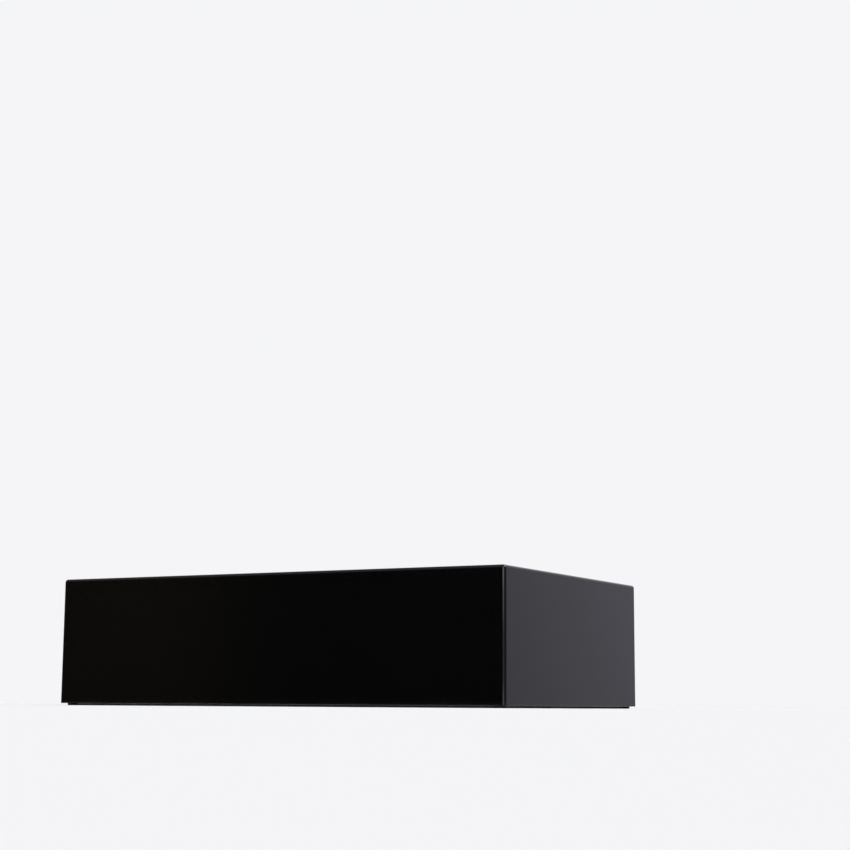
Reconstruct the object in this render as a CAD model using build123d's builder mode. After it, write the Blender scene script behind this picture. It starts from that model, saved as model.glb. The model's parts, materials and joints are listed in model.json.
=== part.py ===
from build123d import *

import os

# Display plinth: a low lacquered box that carries a sculpture bolted down through
# its top. Five boards are mitred together on every edge, with loose tongues in the
# mitres. Blocks, cleats, ribs and a mounting board stiffen the box, a screwed cover
# closes it underneath, and it stands on four small pads.
#
# Units are millimetres. The origin is on the floor under the plinth's centre, +Z is
# up, +X runs along the long side and the front faces -Y.

# Overall sizes
plinth_width = 480.0
plinth_depth = 300.0
body_height = 120.0

# Casing boards
panel_thickness = 18.0
edge_radius = 3.0
bottom_arris = 0.2

# Loose tongues in the mitres
tongue_thickness = 4.0
tongue_width = 10.0
tongue_setback = 9.0
tongue_end_margin = 20.0
slot_clearance = 0.1

# Foot pads, each centred under a mitred corner
pad_diameter = 10.0
pad_thickness = 2.0
pad_lip_radius = 0.8

# Cover that closes the underside
cover_thickness = 6.0
cover_recess = 2.0
cover_gap = 1.0
cover_corner_radius = 2.0

# Timber inside the box
corner_block_side = 28.0
corner_block_chamfer = 6.0
cleat_side = 18.0
cleat_chamfer = 2.0
rib_thickness = 12.0

# Board under the top that the displayed object is bolted through
board_length = 200.0
board_thickness = 18.0
board_end_gap = 0.5
fixing_hole_diameter = 9.0
fixing_hole_spacing = 80.0

# Steel plate that spreads the bolts' load
plate_length = 140.0
plate_width = 60.0
plate_thickness = 3.0
plate_corner_radius = 6.0
plate_screw_margin = 10.0

# Countersunk wood screws: shank, head and length
screw_clearance = 0.05
countersink_angle = 90.0
pilot_spare = 1.0
tip_length = 4.0
cover_screw_diameter = 3.5
cover_screw_head = 7.0
cover_screw_length = 20.0
board_screw_diameter = 4.0
board_screw_head = 8.0
board_screw_length = 30.0
board_screw_margin = 22.0
plate_screw_diameter = 3.5
plate_screw_head = 7.0
plate_screw_length = 16.0
recess_share = 0.55
recess_blade = 0.9
recess_depth = 1.6
recess_taper = 15.0
head_sink = 0.2

# Levels, from the floor up
body_bottom = pad_thickness
body_top = body_bottom + body_height
cover_bottom = body_bottom + cover_recess
cover_top = cover_bottom + cover_thickness
top_underside = body_top - panel_thickness
board_underside = top_underside - board_thickness
plate_underside = board_underside - plate_thickness

# Clear space between the boards
inner_width = plinth_width - 2 * panel_thickness
inner_depth = plinth_depth - 2 * panel_thickness
inner_height = top_underside - cover_top
board_depth = inner_depth - 2 * board_end_gap
corner_tongue_length = top_underside - body_bottom - 2 * tongue_end_margin

# A side is -1 for left or front, 1 for right or rear, and 0 across the middle
both_sides = (-1, 1)
all_corners = [(side_x, side_y) for side_x in both_sides for side_y in both_sides]

# Outer form of the whole casing, with its rounded edges, before it is cut into boards
with BuildPart() as casing_blank:
    with BuildSketch(Plane.XY.offset(body_bottom)):
        Rectangle(plinth_width, plinth_depth)
    extrude(amount=body_height)
    fillet(casing_blank.edges().filter_by(Axis.Z), edge_radius)
    fillet(casing_blank.faces().sort_by(Axis.Z)[-1].edges(), edge_radius)
    chamfer(casing_blank.faces().sort_by(Axis.Z)[0].edges(), bottom_arris)


def top_mitre(side_x, side_y):
    """Mitre plane at the top edge on one side. Its normal points into the top panel."""
    edge = (side_x * plinth_width / 2, side_y * plinth_depth / 2, body_top)
    return Plane(origin=edge, x_dir=(abs(side_y), abs(side_x), 0), z_dir=(-side_x, -side_y, 1))


def corner_mitre(side_x, side_y):
    """Mitre plane at one upright corner. Its normal points into the front or rear panel."""
    edge = (side_x * plinth_width / 2, side_y * plinth_depth / 2, (body_bottom + top_underside) / 2)
    return Plane(origin=edge, x_dir=(0, 0, 1), z_dir=(-side_x, side_y, 0))


def tongue_plane(mitre, inward):
    """Moves a mitre plane's origin down the mitre to the middle of its tongue."""
    mitre_length = panel_thickness * 2**0.5
    step = Vector(*inward).normalized() * (mitre_length - tongue_setback)
    return Plane(origin=mitre.origin + step, x_dir=mitre.x_dir, z_dir=mitre.z_dir)


def top_tongue_plane(side_x, side_y):
    """Middle of the tongue under one top edge: x along the edge, z across the mitre."""
    return tongue_plane(top_mitre(side_x, side_y), (-side_x, -side_y, -1))


def corner_tongue_plane(side_x, side_y):
    """Middle of the tongue in one upright corner: x up the corner, z across the mitre."""
    return tongue_plane(corner_mitre(side_x, side_y), (-side_x, -side_y, 0))


def top_tongue_length(side_x):
    """Length of a top tongue, which stops short of the corners at both ends."""
    clear_length = inner_depth if side_x else inner_width
    return clear_length - 2 * tongue_end_margin


def tongue_slot(plane, length):
    """Cuts the slot for one tongue in a board, with clearance all round."""
    slot_length = length + 2 * slot_clearance
    slot_thickness = tongue_thickness + 2 * slot_clearance
    slot_width = tongue_width + 2 * slot_clearance
    with Locations(plane):
        Box(slot_length, slot_thickness, slot_width, mode=Mode.SUBTRACT)


def from_below(points, level):
    """Planes at a level, one for each point, facing down, so that holes go upwards."""
    return [Plane(origin=(x, y, level), z_dir=(0, 0, -1)) for x, y in points]


def pilot_holes(points, level, diameter, depth):
    """Drills the blind holes that a set of screws bites into."""
    with Locations(*from_below(points, level)):
        Hole(diameter / 2 + screw_clearance, depth=depth)


def countersunk_holes(points, level, diameter, head):
    """Drills the countersunk through holes of a set of screws, from a piece's lower face."""
    shank_radius = diameter / 2 + screw_clearance
    sink_radius = head / 2 + screw_clearance + head_sink
    with Locations(*from_below(points, level)):
        CounterSinkHole(shank_radius, sink_radius, counter_sink_angle=countersink_angle)


def fixing_holes():
    """Bores the two holes for the displayed object's bolts right through a piece."""
    with GridLocations(fixing_hole_spacing, 0, 2, 1):
        Hole(fixing_hole_diameter / 2)


def wood_screw(diameter, head, length):
    """Countersunk screw that points up +Z from its flat, cross-recessed head at z = 0."""
    head_height = (head - diameter) / 2
    tip_start = length - tip_length
    with BuildPart() as screw:
        with BuildSketch(Plane.XZ):
            with BuildLine():
                Polyline(
                    (0, 0),
                    (head / 2, 0),
                    (diameter / 2, head_height),
                    (diameter / 2, tip_start),
                    (0, length),
                    close=True,
                )
            make_face()
        revolve(axis=Axis.Z)
        with BuildSketch():
            Rectangle(head * recess_share, recess_blade)
            Rectangle(recess_blade, head * recess_share)
        extrude(amount=recess_depth, taper=recess_taper, mode=Mode.SUBTRACT)
    return screw


def add_screws(screw, points, level):
    """Puts a copy of a screw at each point, its head just under flush with the level."""
    with Locations(*[(x, y, level + head_sink) for x, y in points]):
        add(screw.part)


# Screws that hold the cover on, into the corner blocks and the middles of the cleats
block_x = inner_width / 2 - corner_block_side / 2
block_y = inner_depth / 2 - corner_block_side / 2
cleat_x = inner_width / 2 - cleat_side / 2
cleat_y = inner_depth / 2 - cleat_side / 2
cover_points = [(side_x * block_x, side_y * block_y) for side_x, side_y in all_corners]
cover_points += [(0, -cleat_y), (0, cleat_y), (-cleat_x, 0), (cleat_x, 0)]
cover_pilot_depth = cover_screw_length - cover_thickness + pilot_spare

# Screws that hold the mounting board up against the top panel
board_screw_x = board_length / 2 - board_screw_margin
board_screw_y = board_depth / 2 - board_screw_margin
board_points = [(side_x * board_screw_x, side_y * board_screw_y) for side_x, side_y in all_corners]
board_points += [(0, -board_screw_y), (0, board_screw_y)]
board_pilot_depth = board_screw_length - board_thickness + pilot_spare

# Screws that hold the spreader plate up against the mounting board
plate_screw_x = plate_length / 2 - plate_screw_margin
plate_screw_y = plate_width / 2 - plate_screw_margin
plate_points = [(side_x * plate_screw_x, side_y * plate_screw_y) for side_x, side_y in all_corners]
plate_pilot_depth = plate_screw_length - plate_thickness + pilot_spare


# Casing boards

with BuildPart() as top_panel:
    add(casing_blank.part)
    split(bisect_by=Plane.XY.offset(top_underside), keep=Keep.TOP)
    for side_x, side_y in ((0, -1), (0, 1), (-1, 0), (1, 0)):
        split(bisect_by=top_mitre(side_x, side_y), keep=Keep.TOP)
        tongue_slot(top_tongue_plane(side_x, side_y), top_tongue_length(side_x))
    pilot_holes(board_points, top_underside, board_screw_diameter, board_pilot_depth)
    fixing_holes()


def long_panel(side_y):
    """Front or rear board of the casing."""
    inner_face = Plane(origin=(0, side_y * inner_depth / 2, 0), z_dir=(0, side_y, 0))
    with BuildPart() as panel:
        add(casing_blank.part)
        split(bisect_by=inner_face, keep=Keep.TOP)
        split(bisect_by=top_mitre(0, side_y), keep=Keep.BOTTOM)
        tongue_slot(top_tongue_plane(0, side_y), top_tongue_length(0))
        for side_x in both_sides:
            split(bisect_by=corner_mitre(side_x, side_y), keep=Keep.TOP)
            tongue_slot(corner_tongue_plane(side_x, side_y), corner_tongue_length)
    return panel


def short_panel(side_x):
    """Left or right board of the casing."""
    inner_face = Plane(origin=(side_x * inner_width / 2, 0, 0), z_dir=(side_x, 0, 0))
    with BuildPart() as panel:
        add(casing_blank.part)
        split(bisect_by=inner_face, keep=Keep.TOP)
        split(bisect_by=top_mitre(side_x, 0), keep=Keep.BOTTOM)
        tongue_slot(top_tongue_plane(side_x, 0), top_tongue_length(side_x))
        for side_y in both_sides:
            split(bisect_by=corner_mitre(side_x, side_y), keep=Keep.BOTTOM)
            tongue_slot(corner_tongue_plane(side_x, side_y), corner_tongue_length)
    return panel


# Loose tongues


def tongue(plane, length):
    """Loose strip that lies in the slots of two mitred boards."""
    with BuildPart() as strip:
        with Locations(plane):
            Box(length, tongue_thickness, tongue_width)
    return strip


# Timber inside


def corner_block(side_x, side_y):
    """Glue block in one inner corner, with its free upright edge taken off."""
    centre = (side_x * block_x, side_y * block_y)
    with BuildPart() as block:
        with BuildSketch(Plane.XY.offset(cover_top)):
            with Locations(centre):
                Rectangle(corner_block_side, corner_block_side)
        extrude(amount=inner_height)
        free_edge = block.edges().filter_by(Axis.Z).sort_by_distance((0, 0, cover_top))[0]
        chamfer(free_edge, corner_block_chamfer)
        pilot_holes([centre], cover_top, cover_screw_diameter, cover_pilot_depth)
    return block


def cleat(side_x, side_y):
    """Strip along the foot of one panel, between two corner blocks, that the cover is screwed to."""
    centre = (side_x * cleat_x, side_y * cleat_y)
    clear_length = (inner_depth if side_x else inner_width) - 2 * corner_block_side
    size = (cleat_side, clear_length) if side_x else (clear_length, cleat_side)
    with BuildPart() as strip:
        with BuildSketch(Plane.XY.offset(cover_top)):
            with Locations(centre):
                Rectangle(*size)
        extrude(amount=cleat_side)
        free_face = strip.faces().sort_by_distance((0, 0, cover_top + cleat_side))[0]
        chamfer(free_face.edges().sort_by(Axis.Z)[-1], cleat_chamfer)
        pilot_holes([centre], cover_top, cover_screw_diameter, cover_pilot_depth)
    return strip


def rib(side_x):
    """Upright board from front to rear at one end of the mounting board, notched over the cleats."""
    rib_x = side_x * (board_length / 2 + rib_thickness / 2)
    with BuildPart() as upright:
        with BuildSketch(Plane.YZ.offset(rib_x)):
            with Locations((0, cover_top + inner_height / 2)):
                Rectangle(inner_depth, inner_height)
            with Locations(*[(side_y * cleat_y, cover_top + cleat_side / 2) for side_y in both_sides]):
                Rectangle(cleat_side, cleat_side, mode=Mode.SUBTRACT)
        extrude(amount=rib_thickness / 2, both=True)
    return upright


with BuildPart() as mounting_board:
    with BuildSketch(Plane.XY.offset(board_underside)):
        Rectangle(board_length, board_depth)
    extrude(amount=board_thickness)
    countersunk_holes(board_points, board_underside, board_screw_diameter, board_screw_head)
    pilot_holes(plate_points, board_underside, plate_screw_diameter, plate_pilot_depth)
    fixing_holes()

with BuildPart() as spreader_plate:
    with BuildSketch(Plane.XY.offset(plate_underside)):
        RectangleRounded(plate_length, plate_width, plate_corner_radius)
    extrude(amount=plate_thickness)
    countersunk_holes(plate_points, plate_underside, plate_screw_diameter, plate_screw_head)
    fixing_holes()

with BuildPart() as base_cover:
    with BuildSketch(Plane.XY.offset(cover_bottom)):
        RectangleRounded(inner_width - 2 * cover_gap, inner_depth - 2 * cover_gap, cover_corner_radius)
    extrude(amount=cover_thickness)
    countersunk_holes(cover_points, cover_bottom, cover_screw_diameter, cover_screw_head)

# Screws, one node for each set

cover_screw = wood_screw(cover_screw_diameter, cover_screw_head, cover_screw_length)
board_screw = wood_screw(board_screw_diameter, board_screw_head, board_screw_length)
plate_screw = wood_screw(plate_screw_diameter, plate_screw_head, plate_screw_length)

with BuildPart() as base_cover_screws:
    add_screws(cover_screw, cover_points, cover_bottom)

with BuildPart() as mounting_board_screws:
    add_screws(board_screw, board_points, board_underside)

with BuildPart() as spreader_plate_screws:
    add_screws(plate_screw, plate_points, plate_underside)


# Feet


def foot_pad(side_x, side_y):
    """Round self-adhesive pad under one mitred corner, with its lower edge rounded."""
    inset = panel_thickness / 2
    centre = (side_x * (plinth_width / 2 - inset), side_y * (plinth_depth / 2 - inset))
    with BuildPart() as pad:
        with BuildSketch():
            with Locations(centre):
                Circle(pad_diameter / 2)
        extrude(amount=pad_thickness)
        fillet(pad.edges().sort_by(Axis.Z)[0], pad_lip_radius)
    return pad


# Write one STEP file for each piece


def write_piece(piece, name):
    """Labels a finished piece and writes its STEP file."""
    piece.part.label = name
    export_step(piece.part, f"parts/{name}.step")


os.makedirs("parts", exist_ok=True)

write_piece(top_panel, "top_panel")
write_piece(mounting_board, "mounting_board")
write_piece(spreader_plate, "spreader_plate")
write_piece(base_cover, "base_cover")
write_piece(base_cover_screws, "base_cover_screws")
write_piece(mounting_board_screws, "mounting_board_screws")
write_piece(spreader_plate_screws, "spreader_plate_screws")

long_sides = {"front": -1, "rear": 1}
short_sides = {"left": -1, "right": 1}

for name, side_y in long_sides.items():
    write_piece(long_panel(side_y), f"{name}_panel")
    write_piece(tongue(top_tongue_plane(0, side_y), top_tongue_length(0)), f"{name}_top_tongue")
    write_piece(cleat(0, side_y), f"{name}_cleat")

for name, side_x in short_sides.items():
    write_piece(short_panel(side_x), f"{name}_panel")
    write_piece(tongue(top_tongue_plane(side_x, 0), top_tongue_length(side_x)), f"{name}_top_tongue")
    write_piece(cleat(side_x, 0), f"{name}_cleat")
    write_piece(rib(side_x), f"{name}_rib")

for name_y, side_y in long_sides.items():
    for name_x, side_x in short_sides.items():
        corner = f"{name_y}_{name_x}"
        write_piece(tongue(corner_tongue_plane(side_x, side_y), corner_tongue_length), f"{corner}_tongue")
        write_piece(corner_block(side_x, side_y), f"{corner}_block")
        write_piece(foot_pad(side_x, side_y), f"{corner}_foot_pad")
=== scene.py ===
import json
import math

import bmesh
import bpy
from mathutils import Matrix, Vector


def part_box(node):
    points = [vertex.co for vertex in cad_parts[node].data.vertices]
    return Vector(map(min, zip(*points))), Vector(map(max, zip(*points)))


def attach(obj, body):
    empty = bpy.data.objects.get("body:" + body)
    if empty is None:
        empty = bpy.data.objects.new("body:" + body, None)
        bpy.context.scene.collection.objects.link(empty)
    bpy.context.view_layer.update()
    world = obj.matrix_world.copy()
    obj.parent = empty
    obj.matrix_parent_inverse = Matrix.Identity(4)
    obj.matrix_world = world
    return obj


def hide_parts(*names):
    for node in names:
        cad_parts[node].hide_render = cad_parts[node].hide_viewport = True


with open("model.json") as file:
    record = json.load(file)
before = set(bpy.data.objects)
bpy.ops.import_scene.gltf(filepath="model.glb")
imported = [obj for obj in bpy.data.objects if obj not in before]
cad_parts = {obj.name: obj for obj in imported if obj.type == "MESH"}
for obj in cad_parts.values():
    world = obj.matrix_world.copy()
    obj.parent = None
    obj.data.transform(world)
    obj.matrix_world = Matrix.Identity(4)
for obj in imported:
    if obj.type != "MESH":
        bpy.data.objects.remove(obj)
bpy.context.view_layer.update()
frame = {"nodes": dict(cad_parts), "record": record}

# A display plinth in black gloss lacquer. The boards of its casing, its cover, its screws
# and its pads are remade here as fine meshes, at the places and sizes of their CAD nodes.
# The timber and the steel plate inside keep their CAD shape. Everything is in metres, in the CAD
# frame.

ROOT = "root"
MM = 0.001

# Shape details that the frame doesn't hold
EDGE_RADIUS = 3.0 * MM
EDGE_SEGMENTS = 16
FOOT_ARRIS = 0.2 * MM
FOOT_ARRIS_SEGMENTS = 2
SLOT_CLEARANCE = 0.1 * MM
HOLE_LIP = 0.35 * MM
PILOT_CLEARANCE = 0.05 * MM
PILOT_SEGMENTS = 24
ROUND_SEGMENTS = 64
SMOOTH_ANGLE = math.radians(35)

# The angles of the points on a small rounded lip
QUARTER_TURN = [math.radians(degrees) for degrees in range(0, 91, 15)]

# How far a cutter runs past what it cuts, how near two points count as one, and how near a point
# counts as on a cutting plane
CUTTER_SPARE = 1.0 * MM
SAME_POINT = 1e-6
ON_PLANE = 1e-7

SIDES = ("front", "rear", "left", "right")
CORNERS = ("front_left", "front_right", "rear_left", "rear_right")
OUTWARD = {
    "front": Vector((0, -1, 0)),
    "rear": Vector((0, 1, 0)),
    "left": Vector((-1, 0, 0)),
    "right": Vector((1, 0, 0)),
}
UP = Vector((0, 0, 1))


def low_high(node):
    """Lowest and highest corners of a CAD node, as vectors."""
    low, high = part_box(node)
    return Vector(low), Vector(high)


def mount(name):
    """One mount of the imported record."""
    return next(m for m in frame["record"]["mounts"] if m["name"] == name)


front_low, front_high = low_high("front_panel")
rear_low, rear_high = low_high("rear_panel")
left_low, left_high = low_high("left_panel")
right_low, right_high = low_high("right_panel")
top_low, top_high = low_high("top_panel")

# The casing's outside, and the hollow inside its boards, both down to the foot of the boards
CASING_LOW = Vector((left_low.x, front_low.y, front_low.z))
CASING_HIGH = Vector((right_high.x, rear_high.y, top_high.z))
CASING_MIDDLE = (CASING_HIGH + CASING_LOW) / 2
CASING_HALF = (CASING_HIGH - CASING_LOW) / 2
INNER_LOW = Vector((left_high.x, front_high.y, CASING_LOW.z))
INNER_HIGH = Vector((right_low.x, rear_low.y, top_low.z))


# ---------------------------------------------------------------- node helpers


def new_material(name):
    """A new node material, with its tree and its Principled shader."""
    material = bpy.data.materials.new(name)
    material.use_nodes = True
    tree = material.node_tree
    shader = next(n for n in tree.nodes if n.type == "BSDF_PRINCIPLED")
    return material, tree, shader


def place(tree, scale=(1, 1, 1)):
    """Object coordinates in metres, scaled per axis, so that a pattern stays with its piece."""
    coordinates = tree.nodes.new("ShaderNodeTexCoord")
    mapping = tree.nodes.new("ShaderNodeMapping")
    mapping.inputs["Scale"].default_value = scale
    tree.links.new(coordinates.outputs["Object"], mapping.inputs["Vector"])
    return mapping.outputs["Vector"]


def object_axes(tree):
    """Object coordinates in metres, split into X, Y and Z."""
    coordinates = tree.nodes.new("ShaderNodeTexCoord")
    split = tree.nodes.new("ShaderNodeSeparateXYZ")
    tree.links.new(coordinates.outputs["Object"], split.inputs["Vector"])
    return split.outputs


def noise(tree, vector, scale, detail=2.0, roughness=0.5, distortion=0.0):
    """A noise field, 0 to 1."""
    node = tree.nodes.new("ShaderNodeTexNoise")
    node.inputs["Scale"].default_value = scale
    node.inputs["Detail"].default_value = detail
    node.inputs["Roughness"].default_value = roughness
    node.inputs["Distortion"].default_value = distortion
    tree.links.new(vector, node.inputs["Vector"])
    return node.outputs["Fac"]


def remap(tree, value, source, target, smooth=False):
    """Stretches a value from one (low, high) range to another, and holds it there."""
    node = tree.nodes.new("ShaderNodeMapRange")
    node.interpolation_type = "SMOOTHSTEP" if smooth else "LINEAR"
    for name, number in zip(("From Min", "From Max", "To Min", "To Max"), (*source, *target)):
        node.inputs[name].default_value = number
    tree.links.new(value, node.inputs["Value"])
    return node.outputs["Result"]


def calculate(tree, operation, first, second=None):
    """One step of arithmetic on sockets or numbers."""
    node = tree.nodes.new("ShaderNodeMath")
    node.operation = operation
    for socket, value in zip(node.inputs, (first, second)):
        if isinstance(value, (int, float)):
            socket.default_value = value
        elif value is not None:
            tree.links.new(value, socket)
    return node.outputs["Value"]


def weigh(tree, *shares):
    """The sum of several (field, share) pairs, each field times its share."""
    parts = [calculate(tree, "MULTIPLY", field, share) for field, share in shares]
    total = parts[0]
    for part in parts[1:]:
        total = calculate(tree, "ADD", total, part)
    return total


def blend_colours(tree, factor, first, second):
    """Mixes two colours, each a tuple or a socket, by a factor."""
    node = tree.nodes.new("ShaderNodeMix")
    node.data_type = "RGBA"
    tree.links.new(factor, node.inputs["Factor"])
    ends = [s for s in node.inputs if s.type == "RGBA"]
    for socket, colour in zip(ends, (first, second)):
        if isinstance(colour, tuple):
            socket.default_value = (*colour, 1)
        else:
            tree.links.new(colour, socket)
    return next(s for s in node.outputs if s.type == "RGBA")


def bump(tree, shader, height, strength, distance):
    """Feeds a height field to the shader's normal."""
    node = tree.nodes.new("ShaderNodeBump")
    node.inputs["Strength"].default_value = strength
    node.inputs["Distance"].default_value = distance
    tree.links.new(height, node.inputs["Height"])
    tree.links.new(node.outputs["Normal"], shader.inputs["Normal"])


# ---------------------------------------------------------------- materials

# Where a noise field's values mostly lie
NOISE_RANGE = (0.3, 0.7)

LACQUER_IOR = 1.5
LACQUER_TONES = ((0.0014, 0.0014, 0.0015), (0.0024, 0.0023, 0.0024))
LACQUER_HAZE_RANGE = (0.3, 0.75)
LACQUER_ROUGHNESS = (0.011, 0.022)
WEAR_RANGE = (0.45, 0.75)
WEAR_ROUGHNESS = (0.0, 0.035)
WEAR_STARTS = 2.5 * EDGE_RADIUS
WEAR_IS_FULL = 0.5 * EDGE_RADIUS

PAINT_TONES = ((0.012, 0.012, 0.0125), (0.028, 0.027, 0.027))
FIBREBOARD_TONES = ((0.15, 0.09, 0.045), (0.38, 0.265, 0.155))
RUBBER_TONES = ((0.012, 0.012, 0.012), (0.026, 0.025, 0.024))
FACE_PLY_TONES = ((0.58, 0.43, 0.27), (0.44, 0.29, 0.155))
CROSS_PLY_TONES = ((0.36, 0.22, 0.11), (0.25, 0.145, 0.07))
BEECH_TONES = ((0.60, 0.40, 0.24), (0.40, 0.23, 0.12))
PINE_TONES = ((0.70, 0.52, 0.30), (0.38, 0.21, 0.08))

# The width of a growth ring, and where the pith line crosses the two axes across the grain
BEECH_RING, BEECH_PITH = 1.6 * MM, (0.03, -0.06)
PINE_RING, PINE_PITH = 3.2 * MM, (0.02, -0.05)
RING_SWAY = 5
EARLY_WOOD_ENDS = 0.35
LATE_WOOD_ENDS = 0.9

PLATE_TINT, PLATE_ROUGHNESS = (0.60, 0.61, 0.62), 0.34
SCREW_TINT, SCREW_ROUGHNESS = (0.62, 0.60, 0.55), 0.27
ZINC_PALER = 1.12
ZINC_BRIGHTER, ZINC_DULLER = 0.07, 0.09


def near_edges(tree):
    """1 on the casing's rounded edges, 0 a few millimetres away from them and along its foot."""
    position = object_axes(tree)
    closeness = []
    for i, axis in enumerate("XYZ"):
        off = calculate(tree, "SUBTRACT", position[axis], CASING_MIDDLE[i])
        if axis != "Z":
            off = calculate(tree, "ABSOLUTE", off)
        reach = (CASING_HALF[i] - WEAR_STARTS, CASING_HALF[i] - WEAR_IS_FULL)
        closeness.append(remap(tree, off, reach, (0.0, 1.0), smooth=True))
    pairs = [calculate(tree, "MULTIPLY", closeness[i], closeness[(i + 1) % 3]) for i in range(3)]
    return calculate(tree, "MAXIMUM", calculate(tree, "MAXIMUM", pairs[0], pairs[1]), pairs[2])


def black_lacquer():
    """Polished black lacquer: a deep colour, faint orange peel, hazed a little by handling."""
    material, tree, shader = new_material("black_lacquer")
    where = place(tree)
    shader.inputs["IOR"].default_value = LACQUER_IOR
    tone = noise(tree, where, scale=9.0, detail=3.0)
    tree.links.new(blend_colours(tree, tone, *LACQUER_TONES), shader.inputs["Base Color"])
    haze = noise(tree, where, scale=14.0, detail=4.0, roughness=0.6)
    polish = remap(tree, haze, LACQUER_HAZE_RANGE, LACQUER_ROUGHNESS, smooth=True)
    rubbed = noise(tree, where, scale=90.0, detail=5.0, roughness=0.7)
    wear = calculate(tree, "MULTIPLY", near_edges(tree), remap(tree, rubbed, WEAR_RANGE, WEAR_ROUGHNESS))
    tree.links.new(calculate(tree, "ADD", polish, wear), shader.inputs["Roughness"])
    peel = noise(tree, where, scale=260.0, detail=1.5, roughness=0.4)
    bump(tree, shader, peel, strength=0.004, distance=0.2 * MM)
    return material


def matte_black():
    """Sprayed matte black paint over board: fine grain, with rubbed patches."""
    material, tree, shader = new_material("matte_black_paint")
    where = place(tree)
    tone = noise(tree, where, scale=30.0, detail=5.0, roughness=0.65)
    tree.links.new(blend_colours(tree, tone, *PAINT_TONES), shader.inputs["Base Color"])
    tree.links.new(remap(tree, tone, NOISE_RANGE, (0.55, 0.78)), shader.inputs["Roughness"])
    grain = noise(tree, where, scale=1400.0, detail=3.0, roughness=0.6)
    bump(tree, shader, grain, strength=0.35, distance=0.1 * MM)
    return material


def bare_board():
    """Raw fibreboard, as in the mitres and the bored holes: brown, felted fibres."""
    material, tree, shader = new_material("bare_fibreboard")
    where = place(tree)
    fibres = noise(tree, where, scale=900.0, detail=4.0, roughness=0.7, distortion=1.5)
    cloud = noise(tree, where, scale=35.0, detail=4.0, roughness=0.6)
    felted = weigh(tree, (fibres, 0.7), (cloud, 0.3))
    tree.links.new(blend_colours(tree, felted, *FIBREBOARD_TONES), shader.inputs["Base Color"])
    tree.links.new(remap(tree, cloud, NOISE_RANGE, (0.86, 0.95)), shader.inputs["Roughness"])
    bump(tree, shader, fibres, strength=0.5, distance=0.2 * MM)
    return material


def grain_scale(axis, along):
    """Scale per axis that stretches a pattern along one axis."""
    return tuple(along if i == "xyz".index(axis) else 1.0 for i in range(3))


def wood(name, axis, tones, ring_width, pith):
    """Timber with its grain along one axis: growth rings about a pith line, pores, slow shifts of tone."""
    material, tree, shader = new_material(f"{name}_{axis}")
    position = object_axes(tree)
    squares = []
    for across, centre in zip((a for a in "XYZ" if a != axis.upper()), pith):
        offset = calculate(tree, "SUBTRACT", position[across], centre)
        squares.append(calculate(tree, "MULTIPLY", offset, offset))
    from_pith = calculate(tree, "SQRT", calculate(tree, "ADD", *squares))
    sway = noise(tree, place(tree, grain_scale(axis, 0.12)), scale=24.0, detail=3.0, roughness=0.55)
    wavy = calculate(tree, "ADD", from_pith, calculate(tree, "MULTIPLY", sway, RING_SWAY * ring_width))
    ring = calculate(tree, "FRACT", calculate(tree, "DIVIDE", wavy, ring_width))
    darkening = remap(tree, ring, (EARLY_WOOD_ENDS, LATE_WOOD_ENDS), (0.0, 1.0), smooth=True)
    late_wood = calculate(tree, "MULTIPLY", darkening, remap(tree, ring, (LATE_WOOD_ENDS, 1.0), (1.0, 0.0)))
    pores = noise(tree, place(tree, grain_scale(axis, 0.02)), scale=2200.0, roughness=0.6)
    cloud = noise(tree, place(tree, grain_scale(axis, 0.2)), scale=18.0)
    mixed = weigh(tree, (late_wood, 0.5), (pores, 0.3), (cloud, 0.2))
    tree.links.new(blend_colours(tree, mixed, *tones), shader.inputs["Base Color"])
    tree.links.new(remap(tree, pores, NOISE_RANGE, (0.55, 0.75)), shader.inputs["Roughness"])
    bump(tree, shader, pores, strength=0.3, distance=0.1 * MM)
    return material


def plywood(axis, thickness_axis, node, plies):
    """Plywood for one CAD node: plies that turn from layer to layer across its thickness."""
    low, high = low_high(node)
    thickness_index = "xyz".index(thickness_axis)
    ply_thickness = (high[thickness_index] - low[thickness_index]) / plies
    material, tree, shader = new_material(f"plywood_{axis}{thickness_axis}")
    other = next(a for a in "xyz" if a not in (axis, thickness_axis))
    through = calculate(tree, "SUBTRACT", object_axes(tree)[thickness_axis.upper()], low[thickness_index])
    ply = calculate(tree, "DIVIDE", through, ply_thickness)
    odd = calculate(tree, "FLOOR", calculate(tree, "MODULO", calculate(tree, "ABSOLUTE", ply), 2.0))
    lengthwise = place(tree, grain_scale(axis, 0.05))
    along = noise(tree, lengthwise, scale=260.0, detail=4.0, roughness=0.6, distortion=0.6)
    crosswise = place(tree, grain_scale(other, 0.05))
    across = noise(tree, crosswise, scale=260.0, detail=4.0, roughness=0.6)
    face_ply = blend_colours(tree, along, *FACE_PLY_TONES)
    cross_ply = blend_colours(tree, across, *CROSS_PLY_TONES)
    tree.links.new(blend_colours(tree, odd, face_ply, cross_ply), shader.inputs["Base Color"])
    tree.links.new(remap(tree, along, NOISE_RANGE, (0.64, 0.80)), shader.inputs["Roughness"])
    bump(tree, shader, along, strength=0.3, distance=0.1 * MM)
    return material


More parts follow.
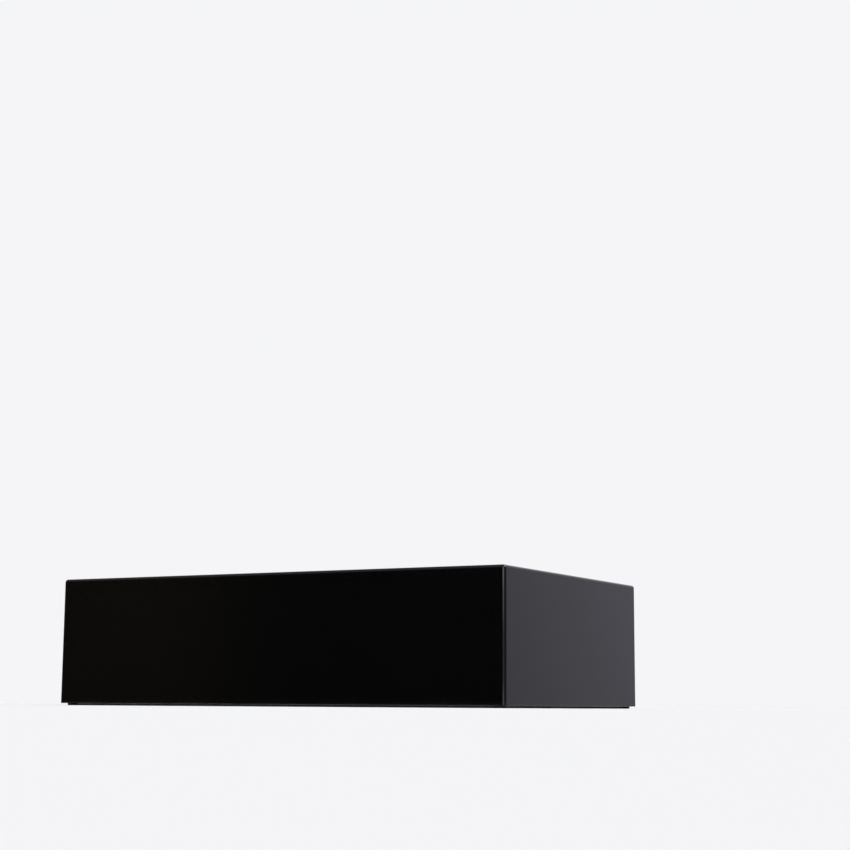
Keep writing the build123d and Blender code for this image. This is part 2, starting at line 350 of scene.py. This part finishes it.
def zinc(name, tint, roughness):
    """Zinc-plated steel: crystalline mottling, in two tones and a little brighter or duller in places."""
    material, tree, shader = new_material(name)
    where = place(tree)
    spangle = noise(tree, where, scale=420.0)
    cloud = noise(tree, where, scale=60.0, detail=3.0)
    pale = tuple(c * ZINC_PALER for c in tint)
    tree.links.new(blend_colours(tree, cloud, tint, pale), shader.inputs["Base Color"])
    shader.inputs["Metallic"].default_value = 1.0
    polish = (roughness - ZINC_BRIGHTER, roughness + ZINC_DULLER)
    tree.links.new(remap(tree, spangle, NOISE_RANGE, polish), shader.inputs["Roughness"])
    bump(tree, shader, spangle, strength=0.15, distance=0.05 * MM)
    return material


def black_rubber():
    """Moulded rubber pad: dull, finely grained, dusty in patches."""
    material, tree, shader = new_material("black_rubber")
    where = place(tree)
    dust = noise(tree, where, scale=220.0, detail=4.0, roughness=0.6)
    tree.links.new(blend_colours(tree, dust, *RUBBER_TONES), shader.inputs["Base Color"])
    tree.links.new(remap(tree, dust, NOISE_RANGE, (0.62, 0.82)), shader.inputs["Roughness"])
    bump(tree, shader, noise(tree, where, scale=3200.0), strength=0.3, distance=0.05 * MM)
    return material


# ---------------------------------------------------------------- mesh helpers


def box_mesh(low, high):
    """A plain box, the blank that a piece is shaped from."""
    bm = bmesh.new()
    bmesh.ops.create_cube(bm, size=1)
    size, middle = high - low, (high + low) / 2
    for vert in bm.verts:
        vert.co = middle + Vector([vert.co[i] * size[i] for i in range(3)])
    return bm


def round_edges(bm, edges, radius, segments):
    """Rounds the given edges of a mesh."""
    bmesh.ops.bevel(
        bm, geom=edges, offset=radius, offset_type="OFFSET", segments=segments, profile=0.5, affect="EDGES"
    )


def cut_away(bm, point, normal):
    """Cuts a closed mesh with a plane, drops the part the normal points into, and closes the cut."""
    everything = bm.verts[:] + bm.edges[:] + bm.faces[:]
    bmesh.ops.bisect_plane(
        bm, geom=everything, dist=ON_PLANE, plane_co=point, plane_no=normal, clear_outer=True
    )
    bmesh.ops.holes_fill(bm, edges=[e for e in bm.edges if e.is_boundary], sides=0)


def join_rings(bm, rings):
    """Faces between rings of points. A ring of a single point closes the shape at a tip."""
    count = max(len(ring) for ring in rings)
    for below, above in zip(rings, rings[1:]):
        for i in range(count):
            j = (i + 1) % count
            around = [ring[k % len(ring)] for ring, k in ((below, i), (below, j), (above, j), (above, i))]
            bm.faces.new(list(dict.fromkeys(around)))


def flat_ended(bm, rings):
    """A closed solid through a stack of rings, with a flat face at each end."""
    join_rings(bm, rings)
    bm.faces.new(rings[0])
    bm.faces.new(rings[-1])


def lathe(bm, profile, centre, segments=ROUND_SEGMENTS):
    """Turns a profile of (radius, height) points about a vertical axis. Its ends lie on the axis."""
    rings = []
    for radius, height in profile:
        count = 1 if radius == 0 else segments
        turns = [2 * math.pi * i / segments for i in range(count)]
        around = [Vector((radius * math.cos(turn), radius * math.sin(turn), height)) for turn in turns]
        rings.append([bm.verts.new(centre + point) for point in around])
    join_rings(bm, rings)


def face_outward(bm):
    """Turns all faces of closed solids outward."""
    bmesh.ops.recalc_face_normals(bm, faces=bm.faces[:])


def to_object(bm, name):
    """Makes a scene object of a finished mesh."""
    mesh = bpy.data.meshes.new(name)
    bm.to_mesh(mesh)
    bm.free()
    piece = bpy.data.objects.new(name, mesh)
    bpy.context.scene.collection.objects.link(piece)
    return piece


def carve(piece, cutter_bm):
    """Takes the closed solids of a cutter mesh, which mustn't overlap each other, out of a piece."""
    face_outward(cutter_bm)
    cutter = to_object(cutter_bm, piece.name + "_cutter")
    cut = piece.modifiers.new("carve", "BOOLEAN")
    cut.operation = "DIFFERENCE"
    cut.solver = "EXACT"
    cut.object = cutter
    bpy.context.view_layer.update()
    evaluated = piece.evaluated_get(bpy.context.evaluated_depsgraph_get())
    carved = bpy.data.meshes.new_from_object(evaluated)
    piece.modifiers.clear()
    piece.data = carved
    bpy.data.objects.remove(cutter)


def smooth_by_angle(mesh):
    """Smooth shading, kept sharp where two faces meet at more than SMOOTH_ANGLE."""
    mesh.shade_smooth()
    mesh.set_sharp_from_angle(angle=SMOOTH_ANGLE)


def islands(node):
    """Lowest and highest corners of each loose solid of a CAD node."""
    bm = bmesh.new()
    bm.from_mesh(frame["nodes"][node].data)
    bmesh.ops.remove_doubles(bm, verts=bm.verts[:], dist=SAME_POINT)
    left, found = set(bm.verts), []
    while left:
        start = left.pop()
        group, rim = [start], [start]
        while rim:
            near = {e.other_vert(v) for v in rim for e in v.link_edges} & left
            left -= near
            rim = list(near)
            group += rim
        low = Vector([min(v.co[i] for v in group) for i in range(3)])
        high = Vector([max(v.co[i] for v in group) for i in range(3)])
        found.append((low, high))
    bm.free()
    return sorted(found, key=lambda ends: tuple(ends[0]))


def axis_at(low, high, height):
    """The point of an upright round solid's axis at a height, from the solid's two corners."""
    return Vector(((low.x + high.x) / 2, (low.y + high.y) / 2, height))


def finish(piece, node, materials):
    """Gives a piece its materials and its body, and hides the CAD node that it stands for."""
    for material in materials:
        piece.data.materials.append(material)
    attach(piece, ROOT)
    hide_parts(node)


# ---------------------------------------------------------------- casing boards

# A board's material slots
LACQUERED, BARE = 0, 1

# A face counts as outer skin this near to it, and as facing down below this slope of its normal
SKIN_SLACK = 0.02 * MM
FACING_DOWN = -0.3


def casing_blank():
    """The whole casing as one solid: upright and top edges rounded, foot eased."""
    bm = box_mesh(CASING_LOW, CASING_HIGH)

    def at_foot(edge):
        return all(abs(v.co.z - CASING_LOW.z) < SAME_POINT for v in edge.verts)

    round_edges(bm, [e for e in bm.edges if not at_foot(e)], EDGE_RADIUS, EDGE_SEGMENTS)
    round_edges(bm, [e for e in bm.edges if at_foot(e)], FOOT_ARRIS, FOOT_ARRIS_SEGMENTS)
    return bm


def casing_edge(*directions):
    """A point on the casing's sharp outline, before rounding, on the sides named by directions."""
    return CASING_MIDDLE + Vector([sum(d[i] for d in directions) * CASING_HALF[i] for i in range(3)])


def tongue_cutter(bm, node):
    """The slot for one loose tongue: the tongue's own box, with clearance all round."""
    source = bmesh.new()
    source.from_mesh(frame["nodes"][node].data)
    bmesh.ops.remove_doubles(source, verts=source.verts[:], dist=SAME_POINT)
    source.normal_update()
    moved = {}
    for vert in source.verts:
        step = Vector()
        for normal in {tuple(round(c, 3) for c in face.normal) for face in vert.link_faces}:
            step += Vector(normal).normalized() * SLOT_CLEARANCE
        moved[vert] = bm.verts.new(vert.co + step)
    for face in source.faces:
        bm.faces.new([moved[v] for v in face.verts])
    source.free()


def bolt_hole_cutter(bm):
    """Both bolt holes through the top board, from the record's pattern, each with a softened lip."""
    pattern = mount("fixing_holes")
    middle, half_spacing = Vector(pattern["pos_m"]), pattern["dims"]["spacing_x_mm"] * MM / 2
    radius = pattern["dims"]["hole_r_mm"] * MM
    depth = middle.z - INNER_HIGH.z + CUTTER_SPARE
    lip = [(radius + HOLE_LIP * (1 - math.cos(a)), -HOLE_LIP * (1 - math.sin(a))) for a in QUARTER_TURN]
    mouth = [(radius + HOLE_LIP, CUTTER_SPARE), (0, CUTTER_SPARE)]
    for side in (-1, 1):
        lathe(bm, [(0, -depth), (radius, -depth), *lip, *mouth], middle + Vector((side * half_spacing, 0, 0)))


def from_core(point):
    """The way out to a point from the nearest point of the core that the casing is rounded about."""
    core_low = CASING_LOW + Vector((EDGE_RADIUS, EDGE_RADIUS, 0))
    core_high = CASING_HIGH - Vector((EDGE_RADIUS, EDGE_RADIUS, EDGE_RADIUS))
    return point - Vector([min(max(point[i], core_low[i]), core_high[i]) for i in range(3)])


def dress_board(board):
    """Lacquer on the outside with exact normals on the rounded edges, and bare board inside."""
    mesh = board.data
    smooth_by_angle(mesh)
    normals = [corner.vector.copy() for corner in mesh.corner_normals]
    for face in mesh.polygons:
        distance = from_core(face.center).length
        on_skin = distance > EDGE_RADIUS - SKIN_SLACK
        low_down = face.center.z < CASING_LOW.z + FOOT_ARRIS
        at_foot = low_down and (face.normal.z < FACING_DOWN or distance > EDGE_RADIUS - FOOT_ARRIS)
        hole_lip = face.center.z > CASING_HIGH.z - HOLE_LIP
        face.material_index = LACQUERED if on_skin or at_foot or hole_lip else BARE
        if on_skin:
            for loop in face.loop_indices:
                normals[loop] = from_core(mesh.vertices[mesh.loops[loop].vertex_index].co).normalized()
    mesh.normals_split_custom_set(normals)


def make_top_board(lacquer, fibreboard):
    """Top board: four mitred edges, tongue slots, pilot holes below and the two bolt holes."""
    bm = casing_blank()
    cut_away(bm, INNER_HIGH, -UP)
    for side in SIDES:
        cut_away(bm, casing_edge(OUTWARD[side], UP), OUTWARD[side] - UP)
    face_outward(bm)
    board = to_object(bm, "top_board")
    cutter = bmesh.new()
    for side in SIDES:
        tongue_cutter(cutter, f"{side}_top_tongue")
    for low, high in islands("mounting_board_screws"):
        radius = screw_shank_radius(low, high) + PILOT_CLEARANCE
        depth = high.z - INNER_HIGH.z + CUTTER_SPARE
        pilot = [(0, -CUTTER_SPARE), (radius, -CUTTER_SPARE), (radius, depth), (0, depth)]
        lathe(cutter, pilot, axis_at(low, high, INNER_HIGH.z), PILOT_SEGMENTS)
    bolt_hole_cutter(cutter)
    carve(board, cutter)
    dress_board(board)
    finish(board, "top_panel", (lacquer, fibreboard))


def make_side_board(side, lacquer, fibreboard):
    """One upright board: mitred at the top and both ends, with its three tongue slots."""
    out = OUTWARD[side]
    inner_face = Vector([(INNER_LOW if out[i] < 0 else INNER_HIGH)[i] for i in range(3)])
    bm = casing_blank()
    cut_away(bm, inner_face, -out)
    cut_away(bm, casing_edge(out, UP), UP - out)
    for end in (other for other in OUTWARD.values() if other.dot(out) == 0):
        cut_away(bm, casing_edge(out, end), end - out)
    face_outward(bm)
    board = to_object(bm, f"{side}_board")
    cutter = bmesh.new()
    tongue_cutter(cutter, f"{side}_top_tongue")
    for corner in CORNERS:
        if side in corner:
            tongue_cutter(cutter, f"{corner}_tongue")
    carve(board, cutter)
    dress_board(board)
    finish(board, f"{side}_panel", (lacquer, fibreboard))


# ---------------------------------------------------------------- screws

SCREW_SEGMENTS = 24
SCREW_TIP = 4.0 * MM
SCREW_THREAD_PITCH = 1.6 * MM
SCREW_RINGS_PER_PITCH = 8

# How deep the cross recess goes, how thick its arms are, and how much narrower it is at its bottom
SCREW_RECESS_DEPTH = 1.6 * MM
SCREW_RECESS_BLADE = 0.9 * MM
SCREW_RECESS_TAPER = 0.45

# The recess and the shank as shares of the head's radius, the thread's core as a share of the shank's
# radius, and the plain shank as a share of the length below the head
SCREW_RECESS_WIDTH = 0.55
SCREW_HEAD_RATIO = 0.5
SCREW_CORE_RATIO = 0.66
SCREW_PLAIN_LENGTH = 0.25

# The plain shank's place between core and full thread, a ridge's half width in pitches, the blunt tip's
# share of the full radius, and the place of the first ring below the head, in steps between rings
SCREW_PLAIN_FULLNESS = 0.55
SCREW_RIDGE_HALF_WIDTH = 0.28
SCREW_TIP_BLUNTNESS = 0.02
SCREW_NECK = 0.3

# Each screw is turned from the one before it, in degrees, as if driven by hand
SCREW_FIRST_TURN = 11
SCREW_NEXT_TURN = 37


def screw_shank_radius(low, high):
    """A wood screw's head is twice as wide as its shank."""
    return (high.x - low.x) / 2 * SCREW_HEAD_RATIO


def cross_recess_cutter(bm, head_radius):
    """A tapered cross that sinks into the head from below, as one solid."""
    long, short = head_radius * SCREW_RECESS_WIDTH, SCREW_RECESS_BLADE / 2
    arm = [(long, -short), (long, short), (short, short)]
    outline = []
    for _ in range(4):
        outline += arm
        arm = [(-y, x) for x, y in arm]
    rings = []
    for height, share in ((-CUTTER_SPARE, 1.0), (0, 1.0), (SCREW_RECESS_DEPTH, SCREW_RECESS_TAPER)):
        rings.append([bm.verts.new((x * share, y * share, height)) for x, y in outline])
    flat_ended(bm, rings)


def screw_radius(height, turn, length, head_radius):
    """Radius of the screw's surface: the cone of the head, then a shank with a spiral thread."""
    shank = head_radius * SCREW_HEAD_RATIO
    head_height = head_radius - shank
    if height <= head_height:
        return head_radius - height
    thread_from = head_height + (length - head_height) * SCREW_PLAIN_LENGTH
    core = shank * SCREW_CORE_RATIO
    if height < thread_from:
        return core + (shank - core) * SCREW_PLAIN_FULLNESS
    taper = min(1.0, max(SCREW_TIP_BLUNTNESS, (length - height) / SCREW_TIP))
    phase = (height / SCREW_THREAD_PITCH - turn / (2 * math.pi)) % 1.0
    ridge = max(0.0, 1 - abs(phase - 0.5) / SCREW_RIDGE_HALF_WIDTH)
    return (core + (shank - core) * ridge) * taper


def one_screw(length, head_radius):
    """One threaded screw that points up, its head's flat face at height 0."""
    bm = bmesh.new()
    head_height = head_radius - head_radius * SCREW_HEAD_RATIO
    step = SCREW_THREAD_PITCH / SCREW_RINGS_PER_PITCH
    count = int((length - head_height) / step)
    heights = [0.0, head_height / 2, head_height, head_height + step * SCREW_NECK]
    heights += [head_height + (length - head_height) * i / count for i in range(1, count)]
    rings = []
    for height in heights:
        ring = []
        for i in range(SCREW_SEGMENTS):
            turn = 2 * math.pi * i / SCREW_SEGMENTS
            radius = screw_radius(height, turn, length, head_radius)
            ring.append(bm.verts.new((radius * math.cos(turn), radius * math.sin(turn), height)))
        rings.append(ring)
    join_rings(bm, rings)
    bm.faces.new(rings[0])
    join_rings(bm, [rings[-1], [bm.verts.new((0, 0, length))]])
    face_outward(bm)
    screw = to_object(bm, "screw")
    cutter = bmesh.new()
    cross_recess_cutter(cutter, head_radius)
    carve(screw, cutter)
    return screw


def make_screws(node, name, steel):
    """All the screws of one CAD node, each at its own place and turned a little differently."""
    places = islands(node)
    low, high = places[0]
    pattern = one_screw(high.z - low.z, (high.x - low.x) / 2)
    bm = bmesh.new()
    for i, (low, high) in enumerate(places):
        copy = pattern.data.copy()
        spin = Matrix.Rotation(math.radians(SCREW_NEXT_TURN * i + SCREW_FIRST_TURN), 4, "Z")
        copy.transform(Matrix.Translation(axis_at(low, high, low.z)) @ spin)
        bm.from_mesh(copy)
        bpy.data.meshes.remove(copy)
    bpy.data.objects.remove(pattern)
    screws = to_object(bm, name)
    smooth_by_angle(screws.data)
    finish(screws, node, (steel,))


# ---------------------------------------------------------------- cover and pads

COVER_CORNER_RADIUS = 2.0 * MM
COVER_CORNER_SEGMENTS = 6
COVER_EDGE_EASE = 0.4 * MM
COVER_EDGE_SEGMENTS = 3
SCREW_HEAD_CLEARANCE = 0.25 * MM

# The cover's rims are the level edges where its surface turns by more than this, in radians
RIM_ANGLE = 0.5


def make_base_cover(paint):
    """The cover that closes the underside, its edges eased, with countersunk screw holes."""
    low, high = low_high("base_cover")
    bm = box_mesh(low, high)
    upright = [e for e in bm.edges if abs(e.verts[0].co.z - e.verts[1].co.z) > SAME_POINT]
    round_edges(bm, upright, COVER_CORNER_RADIUS, COVER_CORNER_SEGMENTS)
    level = [e for e in bm.edges if abs(e.verts[0].co.z - e.verts[1].co.z) < SAME_POINT]
    rims = [e for e in level if len(e.link_faces) == 2 and e.calc_face_angle() > RIM_ANGLE]
    round_edges(bm, rims, COVER_EDGE_EASE, COVER_EDGE_SEGMENTS)
    face_outward(bm)
    cover = to_object(bm, "underside_cover")
    cutter = bmesh.new()
    depth = high.z - low.z + CUTTER_SPARE
    for screw_low, screw_high in islands("base_cover_screws"):
        sink = (screw_high.x - screw_low.x) / 2 + SCREW_HEAD_CLEARANCE
        hole = screw_shank_radius(screw_low, screw_high) + PILOT_CLEARANCE
        countersink = [(0, -CUTTER_SPARE), (sink, -CUTTER_SPARE), (sink, 0), (hole, sink - hole)]
        lathe(cutter, [*countersink, (hole, depth), (0, depth)], axis_at(screw_low, screw_high, low.z))
    carve(cover, cutter)
    smooth_by_angle(cover.data)
    finish(cover, "base_cover", (paint,))


PAD_LIP_RADIUS = 0.8 * MM
PAD_ADHESIVE = 0.15 * MM
PAD_ADHESIVE_INSET = 0.2 * MM

# The pad's upper edge: how far in from its wall and down from the adhesive each point lies
PAD_CROWN = ((0.0, 0.1 * MM), (0.06 * MM, 0.03 * MM), (0.12 * MM, 0.0))


def make_pad(corner, rubber):
    """One stick-on pad: a rounded lower lip, a plain wall and a film of adhesive above it."""
    low, high = low_high(f"{corner}_foot_pad")
    radius, height = (high.x - low.x) / 2, high.z - low.z
    curve = [(PAD_LIP_RADIUS * (1 - math.sin(a)), PAD_LIP_RADIUS * (1 - math.cos(a))) for a in QUARTER_TURN]
    lip = [(radius - inward, up) for inward, up in curve]
    film, wall = height - PAD_ADHESIVE, radius - PAD_ADHESIVE_INSET
    crown = [(radius - inward, film - down) for inward, down in PAD_CROWN]
    bm = bmesh.new()
    lathe(bm, [(0, 0), *lip, *crown, (wall, film), (wall, height), (0, height)], axis_at(low, high, low.z))
    face_outward(bm)
    pad = to_object(bm, f"{corner}_pad")
    smooth_by_angle(pad.data)
    finish(pad, f"{corner}_foot_pad", (rubber,))


# ---------------------------------------------------------------- timber and plate inside

MOUNTING_BOARD_PLIES = 11
RIB_PLIES = 7


def paint_node(node, material):
    """Puts a material on a CAD node that keeps its shape."""
    node_object = frame["nodes"][node]
    node_object.data.materials.clear()
    node_object.data.materials.append(material)


def finish_inside():
    """Timber, plywood and steel for the pieces inside, each with its grain along its length."""
    beech = {axis: wood("beech", axis, BEECH_TONES, BEECH_RING, BEECH_PITH) for axis in "xyz"}
    pine = {axis: wood("pine", axis, PINE_TONES, PINE_RING, PINE_PITH) for axis in "xyz"}
    long_axis = {"front": "x", "rear": "x", "left": "y", "right": "y"}
    for side in SIDES:
        paint_node(f"{side}_top_tongue", beech[long_axis[side]])
        paint_node(f"{side}_cleat", pine[long_axis[side]])
    for corner in CORNERS:
        paint_node(f"{corner}_tongue", beech["z"])
        paint_node(f"{corner}_block", pine["z"])
    paint_node("mounting_board", plywood("x", "z", "mounting_board", MOUNTING_BOARD_PLIES))
    for rib in ("left_rib", "right_rib"):
        paint_node(rib, plywood("y", "x", rib, RIB_PLIES))
    paint_node("spreader_plate", zinc("zinc_plate", PLATE_TINT, PLATE_ROUGHNESS))


# ---------------------------------------------------------------- studio light

PALE_BACKDROP = (0.913, 0.913, 0.930)

NEUTRAL = (1.0, 1.0, 1.0)
VIOLET = (1.0, 0.97, 1.12)
WARM = (1.1, 1.0, 0.72)

# The studio's brightness near the horizon: (degrees round from +X, brightness, tint)
HORIZON = (
    (-180, 0.10, NEUTRAL),
    (-150, 0.06, WARM),
    (-127, 0.052, WARM),
    (-122, 0.018, NEUTRAL),
    (-100, 0.022, NEUTRAL),
    (-84, 0.12, NEUTRAL),
    (-40, 0.25, NEUTRAL),
    (6, 0.14, NEUTRAL),
    (40, 0.33, VIOLET),
    (60, 0.40, VIOLET),
    (72, 0.505, VIOLET),
    (90, 0.80, NEUTRAL),
    (105, 0.91, NEUTRAL),
    (140, 0.80, NEUTRAL),
    (180, 0.10, NEUTRAL),
)
BAND_TOP = math.radians(22)
BAND_FADE = math.radians(45)
BAND_FOOT_SHADE = 0.88
BAND_FULL_AT = math.radians(4.6)

# A light to the front right, that draws the line down the near edge: (degrees up, brightness, tint)
ACCENT_AZIMUTH = math.radians(-72)
ACCENT_HALF_WIDTH = math.radians(34)
ACCENT = (
    (-2.0, 1.5, NEUTRAL),
    (0.2, 1.3, NEUTRAL),
    (0.9, 0.46, NEUTRAL),
    (2.2, 0.48, NEUTRAL),
    (3.4, 1.35, NEUTRAL),
    (4.3, 2.5, NEUTRAL),
    (20.0, 2.5, NEUTRAL),
    (32.0, 0.0, NEUTRAL),
)

OVERHEAD_FILL = 0.34

# Round soft lights in the sky, in degrees: a key high to the right, and a dim glow to the front left
KEY = {"azimuth": 8, "elevation": 56, "full_within": 22, "gone_beyond": 36, "strength": 3.9}
FRONT_GLOW = {"azimuth": -120, "elevation": 34, "full_within": 8, "gone_beyond": 30, "strength": 0.12}


def scale_colour(tree, colour, factor):
    """A colour times a number or a socket."""
    node = tree.nodes.new("ShaderNodeVectorMath")
    node.operation = "SCALE"
    tree.links.new(colour, node.inputs[0])
    if isinstance(factor, (int, float)):
        node.inputs["Scale"].default_value = factor
    else:
        tree.links.new(factor, node.inputs["Scale"])
    return node.outputs["Vector"]


def colour_ramp(tree, angle, stops):
    """A colour read by an angle from a table of (degrees, brightness, tint) stops."""
    low, high = stops[0][0], stops[-1][0]
    peak = max(level for _, level, _ in stops)
    ramp = tree.nodes.new("ShaderNodeValToRGB")
    ramp.color_ramp.interpolation = "EASE"
    elements = ramp.color_ramp.elements
    places = [(degrees - low) / (high - low) for degrees, _, _ in stops]
    for inner_place in places[1:-1]:
        elements.new(inner_place)
    for element, stop_place, (_, level, tint) in zip(elements, places, stops):
        element.position = stop_place
        element.color = (*[level * c / peak for c in tint], 1)
    along = remap(tree, angle, (math.radians(low), math.radians(high)), (0.0, 1.0))
    tree.links.new(along, ramp.inputs["Fac"])
    return scale_colour(tree, ramp.outputs["Color"], peak)


def add_colours(tree, first, second):
    """The sum of two colours."""
    node = tree.nodes.new("ShaderNodeVectorMath")
    node.operation = "ADD"
    tree.links.new(first, node.inputs[0])
    tree.links.new(second, node.inputs[1])
    return node.outputs["Vector"]


def soft_disc(tree, direction, azimuth, elevation, full_within, gone_beyond, strength):
    """The brightness of a round soft light in the sky. Its place and its half widths are in degrees."""
    turn, rise = math.radians(azimuth), math.radians(elevation)
    flat = math.cos(rise)
    facing = tree.nodes.new("ShaderNodeVectorMath")
    facing.operation = "DOT_PRODUCT"
    facing.inputs[1].default_value = (flat * math.cos(turn), flat * math.sin(turn), math.sin(rise))
    tree.links.new(direction, facing.inputs[0])
    spread = (math.cos(math.radians(gone_beyond)), math.cos(math.radians(full_within)))
    return remap(tree, facing.outputs["Value"], spread, (0.0, strength), smooth=True)


def studio_colour(tree):
    """The studio's light by direction: a band at the horizon, an accent, a key, a glow and a fill."""
    coordinates = tree.nodes.new("ShaderNodeTexCoord")
    direction = coordinates.outputs["Generated"]
    split = tree.nodes.new("ShaderNodeSeparateXYZ")
    tree.links.new(direction, split.inputs["Vector"])
    azimuth = calculate(tree, "ARCTAN2", split.outputs["Y"], split.outputs["X"])
    elevation = calculate(tree, "ARCSINE", split.outputs["Z"])

    around = colour_ramp(tree, azimuth, HORIZON)
    foot_shade = remap(tree, elevation, (0.0, BAND_FULL_AT), (BAND_FOOT_SHADE, 1.0))
    band = scale_colour(tree, around, foot_shade)
    in_band = remap(tree, elevation, (BAND_TOP, BAND_FADE), (1.0, 0.0), smooth=True)
    overhead = calculate(tree, "MULTIPLY", calculate(tree, "SUBTRACT", 1.0, in_band), OVERHEAD_FILL)

    off_accent = calculate(tree, "ABSOLUTE", calculate(tree, "SUBTRACT", azimuth, ACCENT_AZIMUTH))
    across = remap(tree, off_accent, (0.0, ACCENT_HALF_WIDTH), (1.0, 0.0), smooth=True)
    accent = scale_colour(tree, colour_ramp(tree, elevation, ACCENT), across)

    key = soft_disc(tree, direction, **KEY)
    glow = soft_disc(tree, direction, **FRONT_GLOW)
    above = calculate(tree, "ADD", calculate(tree, "ADD", overhead, key), glow)
    white = tree.nodes.new("ShaderNodeCombineXYZ")
    for axis in "XYZ":
        tree.links.new(above, white.inputs[axis])
    studio = add_colours(tree, scale_colour(tree, band, in_band), white.outputs["Vector"])
    return add_colours(tree, studio, accent)


def build_world():
    """The studio's light all round. The camera itself sees an even pale backdrop."""
    world = bpy.data.worlds.new("studio")
    bpy.context.scene.world = world
    world.use_nodes = True
    tree = world.node_tree
    tree.nodes.clear()
    studio = studio_colour(tree)
    lit = tree.nodes.new("ShaderNodeBackground")
    tree.links.new(studio, lit.inputs["Color"])
    seen = tree.nodes.new("ShaderNodeBackground")
    seen.inputs["Color"].default_value = (*PALE_BACKDROP, 1)
    path = tree.nodes.new("ShaderNodeLightPath")
    mix = tree.nodes.new("ShaderNodeMixShader")
    tree.links.new(path.outputs["Is Camera Ray"], mix.inputs[0])
    tree.links.new(lit.outputs["Background"], mix.inputs[1])
    tree.links.new(seen.outputs["Background"], mix.inputs[2])
    output = tree.nodes.new("ShaderNodeOutputWorld")
    tree.links.new(mix.outputs["Shader"], output.inputs["Surface"])


# ---------------------------------------------------------------- stage and camera

FLOOR_SIZE = 40.0
FLOOR_COLOUR = (0.771, 0.771, 0.783)
# Dark grey of the slab under the plinth: painted shade in the gap at the plinth's foot
PAINTED_SHADE_COLOUR = (0.16, 0.16, 0.163)
UNDERLAY_INSET = 9.0 * MM
UNDERLAY_PAD_NOTCH = 14.6 * MM
UNDERLAY_CLEARANCE = 0.02 * MM


def matte(name, colour):
    """A dead matte material for the stage."""
    material = bpy.data.materials.new(name)
    material.use_nodes = True
    tree = material.node_tree
    tree.nodes.clear()
    diffuse = tree.nodes.new("ShaderNodeBsdfDiffuse")
    diffuse.inputs["Color"].default_value = (*colour, 1)
    output = tree.nodes.new("ShaderNodeOutputMaterial")
    tree.links.new(diffuse.outputs["BSDF"], output.inputs["Surface"])
    return material


def make_floor():
    """A plain pale floor."""
    bm = bmesh.new()
    bmesh.ops.create_grid(bm, x_segments=1, y_segments=1, size=FLOOR_SIZE)
    floor = to_object(bm, "floor")
    floor.data.materials.append(matte("pale_floor", FLOOR_COLOUR))
    return floor


def make_shade_underlay():
    """A dark grey slab under the plinth, notched round its pads. It keeps light out of the gap at its foot,
    and its dark grey is painted shade in that gap.
    """
    wide, deep = CASING_HALF.x - UNDERLAY_INSET, CASING_HALF.y - UNDERLAY_INSET
    less_wide, less_deep = CASING_HALF.x - UNDERLAY_PAD_NOTCH, CASING_HALF.y - UNDERLAY_PAD_NOTCH
    corner = [(wide, less_deep), (less_wide, less_deep), (less_wide, deep)]
    outline = corner + [(-x, y) for x, y in reversed(corner)]
    outline += [(-x, -y) for x, y in corner] + [(x, -y) for x, y in reversed(corner)]
    bm = bmesh.new()
    rings = []
    for height in (0, CASING_LOW.z - UNDERLAY_CLEARANCE):
        rings.append([bm.verts.new((CASING_MIDDLE.x + x, CASING_MIDDLE.y + y, height)) for x, y in outline])
    flat_ended(bm, rings)
    face_outward(bm)
    shade_underlay = to_object(bm, "shade_underlay")
    # Its dark grey is painted shade, so that the gap at the plinth's foot reads dark
    shade_underlay.data.materials.append(matte("painted_shade_underlay", PAINTED_SHADE_COLOUR))
    return shade_underlay


def build_stage():
    """The floor and a dark grey slab under the plinth, which aren't part of the plinth. The slab's dark grey
    is painted shade in the gap at the plinth's foot.
    """
    floor = make_floor()
    shade_underlay = make_shade_underlay()


# The camera stands level with the foot of the boards, 1.5 m from their near corner, and looks up a little
CAMERA_FROM_CORNER = Vector((0.65710, -1.36823, 0.0))
CAMERA_YAW = math.radians(28.272)
CAMERA_PITCH = math.radians(8.991)
CAMERA_ROLL = math.radians(0.364)
CAMERA_SENSOR = 36.0
CAMERA_LENS = 75.039
CAMERA_NEAREST = 5.0 * MM


def build_camera():
    """The camera, at the photograph's angle."""
    camera = bpy.data.cameras.new("camera")
    camera.sensor_width = CAMERA_SENSOR
    camera.lens = CAMERA_LENS
    camera.clip_start = CAMERA_NEAREST
    view = bpy.data.objects.new("camera", camera)
    bpy.context.scene.collection.objects.link(view)
    near_corner = Vector((CASING_HIGH.x, CASING_LOW.y, CASING_LOW.z))
    flat = math.cos(CAMERA_PITCH)
    forward = Vector((-math.sin(CAMERA_YAW) * flat, math.cos(CAMERA_YAW) * flat, math.sin(CAMERA_PITCH)))
    level_right = Vector((math.cos(CAMERA_YAW), math.sin(CAMERA_YAW), 0))
    level_up = level_right.cross(forward)
    right = math.cos(CAMERA_ROLL) * level_right + math.sin(CAMERA_ROLL) * level_up
    up = math.cos(CAMERA_ROLL) * level_up - math.sin(CAMERA_ROLL) * level_right
    turn = Matrix((right, up, -forward)).transposed()
    view.matrix_world = Matrix.Translation(near_corner + CAMERA_FROM_CORNER) @ turn.to_4x4()
    bpy.context.scene.camera = view


# ---------------------------------------------------------------- build

lacquer = black_lacquer()
fibreboard = bare_board()
paint = matte_black()
rubber = black_rubber()
screw_steel = zinc("zinc_screws", SCREW_TINT, SCREW_ROUGHNESS)

make_top_board(lacquer, fibreboard)
for side in SIDES:
    make_side_board(side, lacquer, fibreboard)
make_base_cover(paint)
for corner in CORNERS:
    make_pad(corner, rubber)
make_screws("base_cover_screws", "cover_screws", screw_steel)
make_screws("mounting_board_screws", "board_screws", screw_steel)
make_screws("spreader_plate_screws", "plate_screws", screw_steel)
finish_inside()

build_world()
build_stage()
build_camera()
bpy.context.scene.view_settings.view_transform = "Standard"

bpy.context.view_layer.update()
